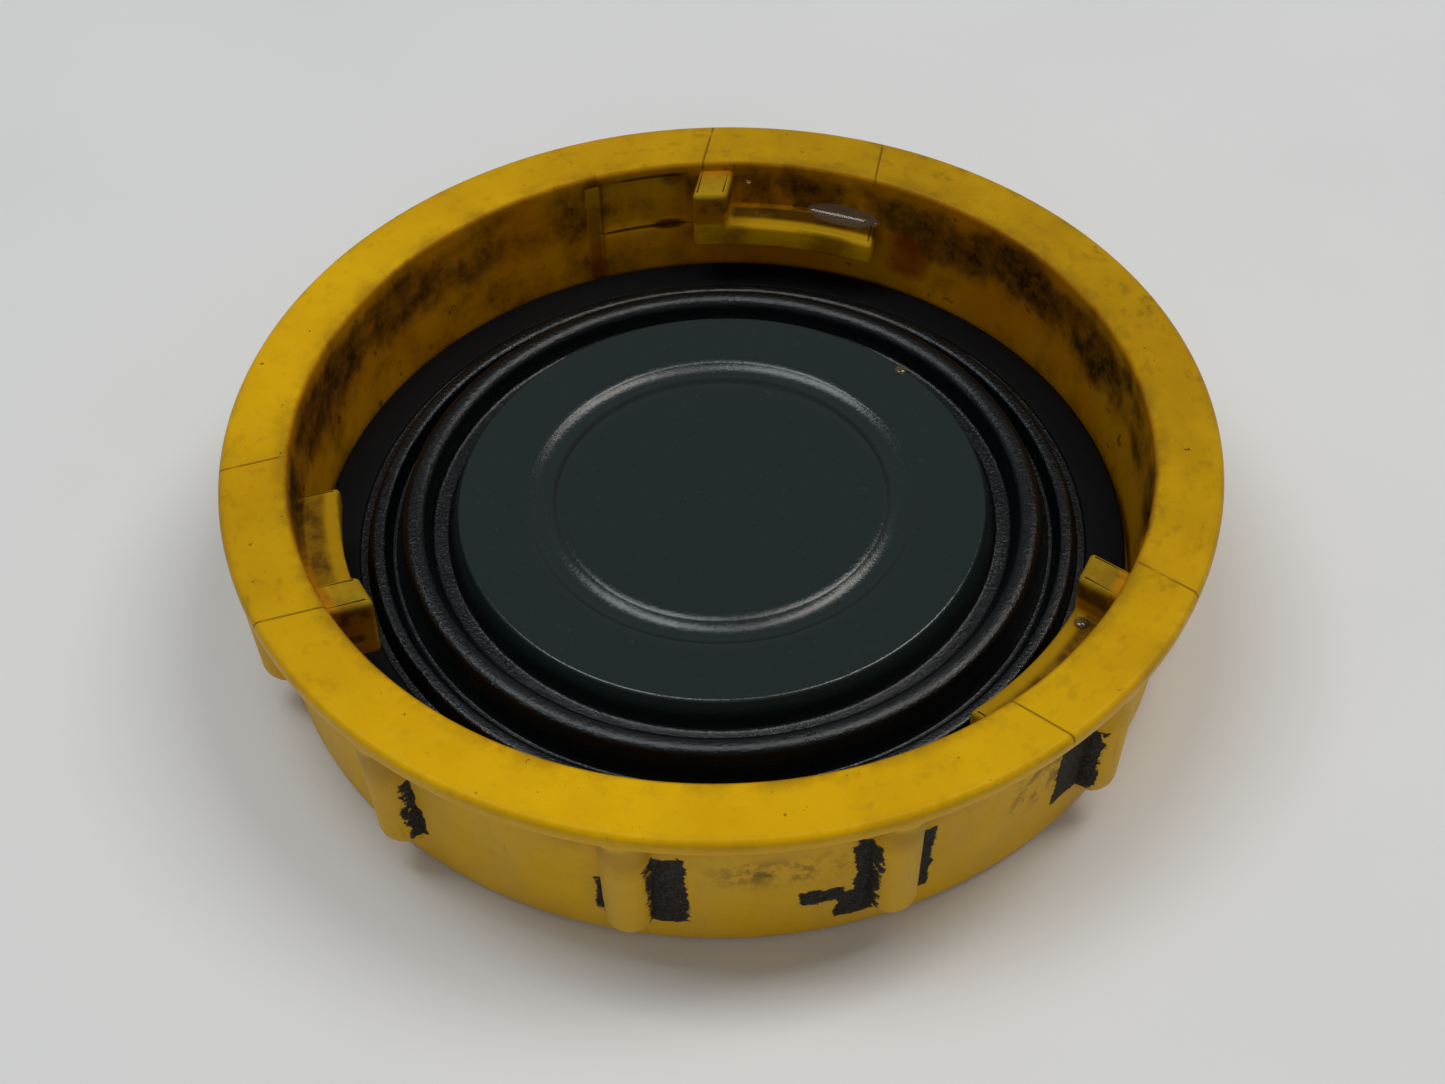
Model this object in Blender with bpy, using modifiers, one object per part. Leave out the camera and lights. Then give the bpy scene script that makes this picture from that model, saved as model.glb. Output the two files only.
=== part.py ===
"""Bayonet reservoir cap with a rubber diaphragm, lying open side up.

Units are metres and +Z is up.  The origin is the middle of the closed face's outside, which the
cap rests on.  The cap's axis is the Z axis.  Angles are in degrees, counterclockwise from +X.

Sub-parts:
    cap_shell               one moulding: closed face, wall, lip, grip ribs, bayonet lugs, vent
    diaphragm_flange        the rubber moulding's sealing flange, which lies on the shell's seat
    diaphragm_convolution   the rubber moulding's folded ring, which unrolls as the centre travels
    diaphragm_centre        the rubber moulding's flat centre, which rides on the fluid level
"""

import math

import bmesh
import bpy

# ---- Overall sizes ----
RIM_RADIUS = 0.0340
NECK_DEPTH = 0.0091

# ---- Clearances ----
TOUCH_GAP = 0.0003
FLANGE_SIDE_CLEARANCE = 0.0004

# ---- Closed face and wall ----
FLOOR_THICKNESS = 0.0020
SEAT_HEIGHT = 0.0012
LIP_THICKNESS = 0.0014
LIP_EDGE_RADIUS = 0.0004
LIP_ROLL_RADIUS = 0.0007
LIP_UNDERSIDE_SLOPE = 0.0006
LIP_UNDERSIDE_TILT = 19.5
LIP_OVERHANG = 0.0017
OUTER_DRAFT = 0.0010
FOOT_EDGE_RADIUS = 0.0009
RIM_WIDTH = 0.0046
RIM_INNER_EDGE_RADIUS = 0.0005
INNER_DRAFT = 0.0006

# ---- Grip ribs on the outside ----
RIB_COUNT = 12
RIB_FIRST_ANGLE = -131.5
RIB_RADIUS = 0.0016
RIB_CROWN_SETBACK = 0.0001
RIB_DRAFT = 0.0007
RIB_END_HEIGHT = 0.0024

# ---- Bayonet lugs on the inside, with depths below the rim ----
LUG_MIDDLE_ANGLES = (78.5, 196.2, 320.5)
LUG_SPAN = 30.4
LUG_BLOCK_SPAN = 5.6
LUG_REACH = 0.0030
LUG_LEDGE_SETBACK = 0.0001
LUG_ROOT = 0.0010
LUG_BLOCK_TOP_DEPTH = 0.0008
LUG_LEDGE_TOP_DEPTH = 0.0038
LUG_UNDERSIDE_DEPTH = 0.0059

# ---- Vent groove down the inner wall and across the seat ----
VENT_ANGLE = 108.5
VENT_WIDTH = 0.0013
VENT_DEPTH = 0.00035
VENT_SEAT_DEPTH = 0.0006
VENT_OVERRUN = 0.0010

# ---- Rubber flange ----
FLANGE_THICKNESS = 0.0020
FLANGE_WIDTH = 0.0026
FLANGE_EDGE = 0.0003
SEAT_OVERLAP = 0.0006

# ---- Rubber folds, inwards from the flange ----
WEB_THICKNESS = 0.0012
BEAD_INSET = 0.0013
BEAD_ROUND = 0.0005
BEAD_HEIGHT = 0.0010
VALLEY_INSET = 0.00235
VALLEY_HALF_WIDTH = 0.00025
RIDGE_INSET = 0.0039
RIDGE_ROUND = 0.0008
RIDGE_DROP = 0.0005
LEDGE_INSET = 0.00515
LEDGE_WIDTH = 0.00105
LEDGE_DROP = 0.0021
DISC_WALL_WIDTH = 0.00085

# ---- Rubber centre ----
DISC_RISE = 0.0030
DISC_THICKNESS = 0.0015
DISC_RIM_WIDTH = 0.0010
DISC_EDGE_RADIUS = 0.0003
DISC_GROOVE_INSET = 0.00585
DISC_GROOVE_HALF_WIDTH = 0.00105
DISC_GROOVE_DEPTH = 0.00038

# ---- Fineness of the solids ----
SHELL_STEPS = 96
RUBBER_STEPS = 72
EDGE_STEPS = 3
FOOT_STEPS = 4
FOLD_STEPS = 6
RIB_SIDES = 14
RIB_RINGS = 8
LUG_BLOCK_STEPS = 2
LUG_LEDGE_STEPS = 10
MERGE_DISTANCE = 0.00001

# ---- Heights that follow from the sizes above ----
SEAT_TOP = FLOOR_THICKNESS + SEAT_HEIGHT
FLANGE_BOTTOM = SEAT_TOP + TOUCH_GAP
FLANGE_TOP = FLANGE_BOTTOM + FLANGE_THICKNESS
CAP_HEIGHT = FLANGE_TOP + NECK_DEPTH
LIP_UNDERSIDE = CAP_HEIGHT - LIP_THICKNESS
LUG_BLOCK_TOP = CAP_HEIGHT - LUG_BLOCK_TOP_DEPTH
LUG_LEDGE_TOP = CAP_HEIGHT - LUG_LEDGE_TOP_DEPTH
LUG_UNDERSIDE = CAP_HEIGHT - LUG_UNDERSIDE_DEPTH
DISC_TOP = FLANGE_TOP + DISC_RISE
DISC_BOTTOM = DISC_TOP - DISC_THICKNESS
RIDGE_TOP = DISC_TOP - RIDGE_DROP
LEDGE_TOP = DISC_TOP - LEDGE_DROP
BEAD_TOP = FLANGE_TOP + BEAD_HEIGHT

# ---- Radii that follow from the sizes above ----
WALL_OUTER_TOP = RIM_RADIUS - LIP_OVERHANG
WALL_OUTER_FOOT = WALL_OUTER_TOP - OUTER_DRAFT
RIM_INNER_RADIUS = RIM_RADIUS - RIM_WIDTH
SEAT_OUTER_RADIUS = RIM_INNER_RADIUS - INNER_DRAFT
LUG_INNER_RADIUS = RIM_INNER_RADIUS - LUG_REACH
LUG_ROOT_RADIUS = RIM_INNER_RADIUS + LUG_ROOT
FLANGE_OUTER_RADIUS = SEAT_OUTER_RADIUS - FLANGE_SIDE_CLEARANCE
FLANGE_INNER_RADIUS = FLANGE_OUTER_RADIUS - FLANGE_WIDTH
WEB_OUTER_RADIUS = FLANGE_INNER_RADIUS - TOUCH_GAP
SEAT_INNER_RADIUS = WEB_OUTER_RADIUS - SEAT_OVERLAP
BEAD_RADIUS = WEB_OUTER_RADIUS - BEAD_INSET
VALLEY_RADIUS = WEB_OUTER_RADIUS - VALLEY_INSET
RIDGE_RADIUS = WEB_OUTER_RADIUS - RIDGE_INSET
LEDGE_OUTER_RADIUS = WEB_OUTER_RADIUS - LEDGE_INSET
LEDGE_INNER_RADIUS = LEDGE_OUTER_RADIUS - LEDGE_WIDTH
DISC_RADIUS = LEDGE_INNER_RADIUS - DISC_WALL_WIDTH
WEB_INNER_RADIUS = DISC_RADIUS - DISC_RIM_WIDTH
CENTRE_RADIUS = WEB_INNER_RADIUS - TOUCH_GAP
DISC_GROOVE_RADIUS = DISC_RADIUS - DISC_GROOVE_INSET


def clear_scene():
    """Remove every object that is already in the file."""
    for item in list(bpy.data.objects):
        bpy.data.objects.remove(item, do_unlink=True)


def make_collection(name):
    collection = bpy.data.collections.new(name)
    bpy.context.scene.collection.children.link(collection)
    return collection


def make_material(name, color, roughness):
    material = bpy.data.materials.new(name)
    material.use_nodes = True
    shader = material.node_tree.nodes["Principled BSDF"]
    shader.inputs["Base Color"].default_value = (*color, 1.0)
    shader.inputs["Roughness"].default_value = roughness
    shader.inputs["Metallic"].default_value = 0.0
    return material


def arc(center_r, center_z, radius, start_deg, end_deg, steps=FOLD_STEPS):
    """Points on an arc in the (radius, height) plane."""
    points = []
    for step in range(steps + 1):
        angle = math.radians(start_deg + (end_deg - start_deg) * step / steps)
        points.append((center_r + radius * math.cos(angle), center_z + radius * math.sin(angle)))
    return points


def turned(name, profile, closed, steps, collection, material):
    """A body of revolution about Z from (radius, height) points that run down the outer side."""
    mesh = bpy.data.meshes.new(name)
    bm = bmesh.new()
    verts = [bm.verts.new((r, 0.0, z)) for r, z in profile]
    for first, second in zip(verts, verts[1:]):
        bm.edges.new((first, second))
    if closed:
        bm.edges.new((verts[-1], verts[0]))
    bm.to_mesh(mesh)
    bm.free()
    item = bpy.data.objects.new(name, mesh)
    collection.objects.link(item)
    screw = item.modifiers.new("turn", "SCREW")
    screw.axis = "Z"
    screw.angle = math.tau
    screw.steps = steps
    screw.render_steps = steps
    screw.use_merge_vertices = True
    screw.merge_threshold = MERGE_DISTANCE
    screw.use_smooth_shade = True
    mesh.materials.append(material)
    return item


def cutter_object(name, bm, collection):
    """Turn a bmesh into a hidden object for a Boolean."""
    bm.normal_update()
    bmesh.ops.recalc_face_normals(bm, faces=bm.faces)
    if bm.calc_volume(signed=True) < 0.0:
        bmesh.ops.reverse_faces(bm, faces=bm.faces)
    mesh = bpy.data.meshes.new(name)
    bm.to_mesh(mesh)
    bm.free()
    item = bpy.data.objects.new(name, mesh)
    item.hide_render = True
    item.display_type = "WIRE"
    collection.objects.link(item)
    return item


def add_boolean(target, tool, operation):
    modifier = target.modifiers.new(tool.name, "BOOLEAN")
    modifier.operation = operation
    modifier.solver = "EXACT"
    modifier.object = tool


def shell_profile():
    """Inside of the cap from the axis outwards, over the rim, and down the outside to the axis."""
    points = [(0.0, FLOOR_THICKNESS)]
    points.append((SEAT_INNER_RADIUS, FLOOR_THICKNESS))
    points.append((SEAT_INNER_RADIUS, SEAT_TOP))
    points.append((SEAT_OUTER_RADIUS, SEAT_TOP))
    inner_edge = RIM_INNER_EDGE_RADIUS
    points += arc(RIM_INNER_RADIUS + inner_edge, CAP_HEIGHT - inner_edge, inner_edge, 180, 90, EDGE_STEPS)
    edge = LIP_EDGE_RADIUS
    points += arc(RIM_RADIUS - edge, CAP_HEIGHT - edge, edge, 90, 0, EDGE_STEPS)
    roll = LIP_ROLL_RADIUS
    tilt_end = LIP_UNDERSIDE_TILT - 90
    points += arc(RIM_RADIUS - roll, LIP_UNDERSIDE + roll, roll, 0, tilt_end, EDGE_STEPS)
    points.append((WALL_OUTER_TOP, LIP_UNDERSIDE - LIP_UNDERSIDE_SLOPE))
    foot = FOOT_EDGE_RADIUS
    points += arc(WALL_OUTER_FOOT - foot, foot, foot, 0, -90, FOOT_STEPS)
    points.append((0.0, 0.0))
    return points


def rib_tool(collection):
    """All grip ribs: upright rods with a round lower end that stand nearly as far out as the lip."""
    lean = RIB_DRAFT / (LIP_UNDERSIDE - FOOT_EDGE_RADIUS)
    axis_top = RIM_RADIUS - RIB_CROWN_SETBACK - RIB_RADIUS
    low = RIB_END_HEIGHT + RIB_RADIUS
    high = LIP_UNDERSIDE + LIP_THICKNESS / 2
    merged = bmesh.new()
    for index in range(RIB_COUNT):
        bm = bmesh.new()
        bmesh.ops.create_uvsphere(bm, u_segments=RIB_SIDES, v_segments=RIB_RINGS, radius=RIB_RADIUS)
        upper = [vert for vert in bm.verts if vert.co.z > MERGE_DISTANCE]
        bmesh.ops.delete(bm, geom=upper, context="VERTS")
        open_edges = [edge for edge in bm.edges if edge.is_boundary]
        raised = bmesh.ops.extrude_edge_only(bm, edges=open_edges)["geom"]
        top_verts = [part for part in raised if isinstance(part, bmesh.types.BMVert)]
        bmesh.ops.translate(bm, verts=top_verts, vec=(0.0, 0.0, high - low))
        bmesh.ops.holes_fill(bm, edges=[edge for edge in bm.edges if edge.is_boundary])
        angle = math.radians(RIB_FIRST_ANGLE + index * 360.0 / RIB_COUNT)
        for vert in bm.verts:
            height = vert.co.z + low
            radius = axis_top - lean * (LIP_UNDERSIDE - height) + vert.co.x
            across = vert.co.y
            vert.co.x = radius * math.cos(angle) - across * math.sin(angle)
            vert.co.y = radius * math.sin(angle) + across * math.cos(angle)
            vert.co.z = height
        part = bpy.data.meshes.new("rib")
        bm.to_mesh(part)
        bm.free()
        merged.from_mesh(part)
        bpy.data.meshes.remove(part)
    return cutter_object("grip_ribs", merged, collection)


def sector_tool(name, middle_deg, start_deg, span_deg, inner_radius, heights, steps, collection):
    """A ring sector from an inner radius to the lug's root, with both ends parallel to the lug's middle."""
    low, high = heights
    middle = math.radians(middle_deg)
    start = math.radians(start_deg)
    bm = bmesh.new()
    corners = []
    for radius, height in (
        (inner_radius, low),
        (LUG_ROOT_RADIUS, low),
        (LUG_ROOT_RADIUS, high),
        (inner_radius, high),
    ):
        corners.append(bm.verts.new((radius * math.cos(start), radius * math.sin(start), height)))
    face = bm.faces.new(corners)
    bmesh.ops.spin(
        bm,
        geom=[face],
        cent=(0.0, 0.0, 0.0),
        axis=(0.0, 0.0, 1.0),
        angle=math.radians(span_deg),
        steps=steps,
        use_duplicate=False,
    )
    for vert in bm.verts:
        radius = math.hypot(vert.co.x, vert.co.y)
        turn = math.atan2(vert.co.y, vert.co.x) - middle
        bent = middle + math.asin(math.sin(turn) * LUG_INNER_RADIUS / radius)
        vert.co.x = radius * math.cos(bent)
        vert.co.y = radius * math.sin(bent)
    return cutter_object(name, bm, collection)


def lug_tools(middle_angle, number, collection):
    """One lug: a ledge that the neck's tab slides under, ending in a taller stop block."""
    stop_angle = middle_angle + LUG_SPAN / 2
    block = sector_tool(
        "lug_%d_block" % number,
        middle_angle,
        stop_angle,
        -LUG_BLOCK_SPAN,
        LUG_INNER_RADIUS,
        (LUG_UNDERSIDE, LUG_BLOCK_TOP),
        LUG_BLOCK_STEPS,
        collection,
    )
    overlap = LUG_BLOCK_SPAN / 2
    ledge = sector_tool(
        "lug_%d_ledge" % number,
        middle_angle,
        stop_angle - overlap,
        overlap - LUG_SPAN,
        LUG_INNER_RADIUS + LUG_LEDGE_SETBACK,
        (LUG_UNDERSIDE + LUG_LEDGE_SETBACK, LUG_LEDGE_TOP),
        LUG_LEDGE_STEPS,
        collection,
    )
    return block, ledge


def add_box(bm, low_corner, high_corner):
    """A box from corner to corner."""
    made = bmesh.ops.create_cube(bm, size=1.0)["verts"]
    for vert in made:
        for axis in range(3):
            share = vert.co[axis] + 0.5
            vert.co[axis] = low_corner[axis] + share * (high_corner[axis] - low_corner[axis])


def vent_tool(name, low_radius, high_radius, low, high, collection):
    """A straight slot on the vent's angle between two radii and two heights."""
    bm = bmesh.new()
    half = VENT_WIDTH / 2
    add_box(bm, (low_radius, -half, low), (high_radius, half, high))
    angle = math.radians(VENT_ANGLE)
    for vert in bm.verts:
        along = vert.co.x
        across = vert.co.y
        vert.co.x = along * math.cos(angle) - across * math.sin(angle)
        vert.co.y = along * math.sin(angle) + across * math.cos(angle)
    return cutter_object(name, bm, collection)


def build_shell(parts, cutters, material):
    """The cap's one moulding."""
    shell = turned("cap_shell", shell_profile(), False, SHELL_STEPS, parts, material)
    add_boolean(shell, rib_tool(cutters), "UNION")
    for index, middle_angle in enumerate(LUG_MIDDLE_ANGLES):
        for tool in lug_tools(middle_angle, index + 1, cutters):
            add_boolean(shell, tool, "UNION")
    wall_slot = vent_tool(
        "vent_wall_slot",
        SEAT_OUTER_RADIUS - VENT_OVERRUN,
        RIM_INNER_RADIUS + VENT_DEPTH,
        SEAT_TOP - VENT_SEAT_DEPTH,
        CAP_HEIGHT + VENT_OVERRUN,
        cutters,
    )
    add_boolean(shell, wall_slot, "DIFFERENCE")
    seat_slot = vent_tool(
        "vent_seat_slot",
        SEAT_INNER_RADIUS - VENT_OVERRUN,
        SEAT_OUTER_RADIUS,
        SEAT_TOP - VENT_SEAT_DEPTH,
        SEAT_TOP + TOUCH_GAP,
        cutters,
    )
    add_boolean(shell, seat_slot, "DIFFERENCE")
    return shell


def build_flange(parts, material):
    """The flat sealing ring that the reservoir's neck presses on."""
    edge = FLANGE_EDGE
    profile = [(FLANGE_INNER_RADIUS, FLANGE_TOP)]
    profile.append((FLANGE_OUTER_RADIUS - edge, FLANGE_TOP))
    profile.append((FLANGE_OUTER_RADIUS, FLANGE_TOP - edge))
    profile.append((FLANGE_OUTER_RADIUS, FLANGE_BOTTOM + edge))
    profile.append((FLANGE_OUTER_RADIUS - edge, FLANGE_BOTTOM))
    profile.append((FLANGE_INNER_RADIUS, FLANGE_BOTTOM))
    return turned("diaphragm_flange", profile, True, RUBBER_STEPS, parts, material)


def convolution_profile():
    """The folded ring: disc edge, ledge, ridge, valley and bead, from the centre outwards."""
    edge = DISC_EDGE_RADIUS
    ridge_low = RIDGE_TOP - RIDGE_ROUND
    bead_low = BEAD_TOP - BEAD_ROUND
    top = [(WEB_INNER_RADIUS, DISC_TOP)]
    top += arc(DISC_RADIUS - edge, DISC_TOP - edge, edge, 90, 20, EDGE_STEPS)
    top.append((LEDGE_INNER_RADIUS, LEDGE_TOP))
    top.append((LEDGE_OUTER_RADIUS, LEDGE_TOP))
    top += arc(RIDGE_RADIUS, ridge_low, RIDGE_ROUND, 160, 20)
    top.append((VALLEY_RADIUS - VALLEY_HALF_WIDTH, FLANGE_TOP))
    top.append((VALLEY_RADIUS + VALLEY_HALF_WIDTH, FLANGE_TOP))
    top += arc(BEAD_RADIUS, bead_low, BEAD_ROUND, 160, 40)
    top.append((WEB_OUTER_RADIUS, FLANGE_TOP))
    web = WEB_THICKNESS
    under = [(WEB_OUTER_RADIUS, FLANGE_TOP - web)]
    under.append((BEAD_RADIUS, FLANGE_TOP - web))
    under.append((VALLEY_RADIUS - web, FLANGE_TOP - web))
    under += arc(RIDGE_RADIUS, ridge_low - web, RIDGE_ROUND / 2, 0, 180, EDGE_STEPS)
    under.append((LEDGE_OUTER_RADIUS, LEDGE_TOP - web))
    under.append((LEDGE_INNER_RADIUS - web, LEDGE_TOP - web))
    under.append((WEB_INNER_RADIUS, DISC_BOTTOM))
    return top + under


def build_convolution(parts, material):
    profile = convolution_profile()
    return turned("diaphragm_convolution", profile, True, RUBBER_STEPS, parts, material)


def build_centre(parts, material):
    """The flat centre with its shallow ring groove."""
    middle = DISC_GROOVE_RADIUS
    half = DISC_GROOVE_HALF_WIDTH
    profile = [(0.0, DISC_TOP)]
    profile.append((middle - half, DISC_TOP))
    profile.append((middle - half / 2, DISC_TOP - DISC_GROOVE_DEPTH))
    profile.append((middle + half / 2, DISC_TOP - DISC_GROOVE_DEPTH))
    profile.append((middle + half, DISC_TOP))
    profile.append((CENTRE_RADIUS, DISC_TOP))
    profile.append((CENTRE_RADIUS, DISC_BOTTOM))
    profile.append((0.0, DISC_BOTTOM))
    return turned("diaphragm_centre", profile, False, RUBBER_STEPS, parts, material)


def main():
    clear_scene()
    parts = make_collection("reservoir_cap")
    cutters = make_collection("cutters")
    yellow = make_material("yellow_plastic", (0.74, 0.45, 0.012), 0.45)
    matte_rubber = make_material("matte_rubber", (0.022, 0.023, 0.024), 0.65)
    fold_rubber = make_material("fold_rubber", (0.010, 0.011, 0.012), 0.35)
    wet_rubber = make_material("wet_rubber", (0.018, 0.024, 0.022), 0.25)
    build_shell(parts, cutters, yellow)
    build_flange(parts, matte_rubber)
    build_convolution(parts, fold_rubber)
    build_centre(parts, wet_rubber)


main()
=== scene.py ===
"""Finished look of a bayonet reservoir cap with a rubber diaphragm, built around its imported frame.

Units are metres, +Z is up and the cap's axis is Z.  Angles are in degrees, counterclockwise from +X.
Each operator adds one piece or one group of like pieces, and the stage has an operator of its own.
"""

import math

import bmesh
import bpy
from mathutils import Euler, Matrix, Vector, noise


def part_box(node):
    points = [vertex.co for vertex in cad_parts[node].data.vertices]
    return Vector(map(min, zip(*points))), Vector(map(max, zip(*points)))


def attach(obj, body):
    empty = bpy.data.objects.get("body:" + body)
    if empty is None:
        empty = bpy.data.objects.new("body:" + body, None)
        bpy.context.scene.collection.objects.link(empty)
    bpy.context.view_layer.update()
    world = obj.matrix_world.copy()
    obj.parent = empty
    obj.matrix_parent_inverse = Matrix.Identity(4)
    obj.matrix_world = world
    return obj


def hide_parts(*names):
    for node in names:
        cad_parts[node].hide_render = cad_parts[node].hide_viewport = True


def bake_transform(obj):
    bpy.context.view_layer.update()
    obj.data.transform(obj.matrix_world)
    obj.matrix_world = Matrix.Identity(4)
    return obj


bl_info = {
    "name": "Reservoir Cap",
    "version": (1, 0, 0),
    "blender": (4, 5, 0),
    "location": "View3D > Sidebar > Reservoir Cap",
    "description": "Adds the moulding, rubber diaphragm and fluid traces of a bayonet reservoir cap",
    "category": "Add Mesh",
}

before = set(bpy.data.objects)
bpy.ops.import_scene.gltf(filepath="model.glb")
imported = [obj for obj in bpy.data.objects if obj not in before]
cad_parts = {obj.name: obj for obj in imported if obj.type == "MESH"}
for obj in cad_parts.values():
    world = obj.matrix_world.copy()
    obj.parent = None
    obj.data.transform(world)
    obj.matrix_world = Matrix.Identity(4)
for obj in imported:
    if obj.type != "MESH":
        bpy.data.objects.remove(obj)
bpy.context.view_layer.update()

# ---- Places read from the frame ----
SHELL_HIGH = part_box("cap_shell")[1]
FLANGE_LOW, FLANGE_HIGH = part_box("diaphragm_flange")
CENTRE_LOW, CENTRE_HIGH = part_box("diaphragm_centre")
WEB_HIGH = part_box("diaphragm_convolution")[1]
RIM_RADIUS = SHELL_HIGH.x
RIM_TOP = SHELL_HIGH.z
FLANGE_RADIUS = FLANGE_HIGH.x
FLANGE_TOP = FLANGE_HIGH.z
FLANGE_BOTTOM = FLANGE_LOW.z
WEB_RADIUS = WEB_HIGH.x
DISC_TOP = CENTRE_HIGH.z
DISC_BOTTOM = CENTRE_LOW.z

# ---- Places on the moulding and the diaphragm ----
LUG_MIDDLES = (78.5, 196.2, 320.5)
LUG_HALF_SPAN = 15.2
LUG_REACH_RADIUS = 0.0264
LEDGE_TOP = RIM_TOP - 0.0038
BLOCK_TOP = RIM_TOP - 0.0008
BLOCK_SPAN = 5.6
MOULD_LINE_OFFSETS = (0.00665, 0.0071, 0.00725)
VENT_ANGLE = 108.5
FOLDS_BEGIN = 0.0186

MERGE_DISTANCE = 1e-6
FACE_BEND = math.radians(35.0)
ABOUT_Z = {"cent": (0.0, 0.0, 0.0), "axis": (0.0, 0.0, 1.0), "use_merge": False}


# ---- Shaping ----

def smooth_max(first, second, blend):
    """The larger of two values, rounded where they cross."""
    near = max(blend - abs(first - second), 0.0) / blend
    return max(first, second) + near * near * blend / 4


def smooth_step(value, low, high):
    """0 below low, 1 above high and a smooth rise between them."""
    share = min(max((value - low) / (high - low), 0.0), 1.0)
    return share * share * (3 - 2 * share)


def turn_between(angle, other):
    """Signed turn from one angle to another, in degrees, the short way round."""
    return (angle - other + 180.0) % 360.0 - 180.0


def rounded_path(corners, steps=4):
    """Points along straight runs whose corners, given as (radius, height, rounding), become arcs."""
    points = [Vector(corners[0][:2])]
    for before, corner, after in zip(corners, corners[1:], corners[2:]):
        here = Vector(corner[:2])
        to_before = (Vector(before[:2]) - here).normalized()
        to_after = (Vector(after[:2]) - here).normalized()
        half = to_before.angle(to_after) / 2
        if corner[2] <= 0.0 or half > math.radians(89.0):
            points.append(here)
            continue
        reach = corner[2] / math.tan(half)
        center = here + (to_before + to_after).normalized() * (corner[2] / math.sin(half))
        start = here + to_before * reach - center
        sweep = start.angle_signed(here + to_after * reach - center)
        for step in range(steps + 1):
            turn = Matrix.Rotation(-sweep * step / steps, 2)
            points.append(center + turn @ start)
    points.append(Vector(corners[-1][:2]))
    return points


def filled_path(points, spacing):
    """The same path with extra points, so that no two are further apart than the spacing."""
    filled = [points[0]]
    for first, second in zip(points, points[1:]):
        pieces = max(1, math.ceil((second - first).length / spacing))
        for piece in range(1, pieces + 1):
            filled.append(first.lerp(second, piece / pieces))
    return filled


def lathe(points, sectors, arcs, first=0.0):
    """A bmesh turned about Z from (radius, height) points, as equal sectors of (span, steps) arcs."""
    bm = bmesh.new()
    verts = [bm.verts.new((point.x, 0.0, point.y)) for point in points]
    section = verts + [bm.edges.new(pair) for pair in zip(verts, verts[1:])]
    bmesh.ops.rotate(bm, verts=verts, matrix=Matrix.Rotation(math.radians(first), 3, "Z"))
    for span, steps in arcs:
        angle = math.radians(span)
        spun = bmesh.ops.spin(bm, geom=section, angle=angle, steps=steps, use_duplicate=False, **ABOUT_Z)
        section = spun["geom_last"]
    whole = bm.verts[:] + bm.edges[:] + bm.faces[:]
    rest = math.tau * (sectors - 1) / sectors
    bmesh.ops.spin(bm, geom=whole, angle=rest, steps=sectors - 1, use_duplicate=True, **ABOUT_Z)
    bmesh.ops.remove_doubles(bm, verts=bm.verts, dist=MERGE_DISTANCE)
    bmesh.ops.recalc_face_normals(bm, faces=bm.faces)
    return bm


def shade(mesh):
    """Smooth shading with sharp creases."""
    mesh.shade_smooth()
    mesh.set_sharp_from_angle(angle=FACE_BEND)


def add_object(name, bm, material):
    """Turn a closed bmesh into an object whose faces point outwards."""
    bm.normal_update()
    if bm.calc_volume(signed=True) < 0.0:
        bmesh.ops.reverse_faces(bm, faces=bm.faces)
    mesh = bpy.data.meshes.new(name)
    bm.to_mesh(mesh)
    bm.free()
    shade(mesh)
    mesh.materials.append(material)
    item = bpy.data.objects.new(name, mesh)
    bpy.context.scene.collection.objects.link(item)
    return item


def unite(base, tools):
    """Join solid tools to a solid base for good."""
    for tool in tools:
        join = base.modifiers.new(tool.name, "BOOLEAN")
        join.operation = "UNION"
        join.solver = "MANIFOLD"
        join.object = tool
    bpy.context.view_layer.update()
    depsgraph = bpy.context.evaluated_depsgraph_get()
    joined = bpy.data.meshes.new_from_object(base.evaluated_get(depsgraph))
    base.modifiers.clear()
    old = base.data
    base.data = joined
    bpy.data.meshes.remove(old)
    for tool in tools:
        bpy.data.objects.remove(tool, do_unlink=True)
    joined.name = base.name
    shade(joined)


def ring_sector(outline, start, span, steps):
    """A bmesh swept round Z from an outline of (radius, height) corners, beginning at an angle."""
    bm = bmesh.new()
    angle = math.radians(start)
    corners = []
    for radius, height in outline:
        corners.append(bm.verts.new((radius * math.cos(angle), radius * math.sin(angle), height)))
    face = bm.faces.new(corners)
    bmesh.ops.spin(bm, geom=[face], angle=math.radians(span), steps=steps, use_duplicate=False, **ABOUT_Z)
    return bm


def soften(bm, keep_inside, offset, segments):
    """Bevel the creases of a bmesh that lie nearer the axis than a radius."""
    bm.normal_update()
    creases = []
    for edge in bm.edges:
        middle = (edge.verts[0].co + edge.verts[1].co) / 2
        if len(edge.link_faces) == 2 and edge.calc_face_angle() > FACE_BEND:
            if math.hypot(middle.x, middle.y) < keep_inside:
                creases.append(edge)
    bmesh.ops.bevel(
        bm, geom=creases, offset=offset, segments=segments, affect="EDGES", profile=0.5, material=-1)


# ---- Materials ----

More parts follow.
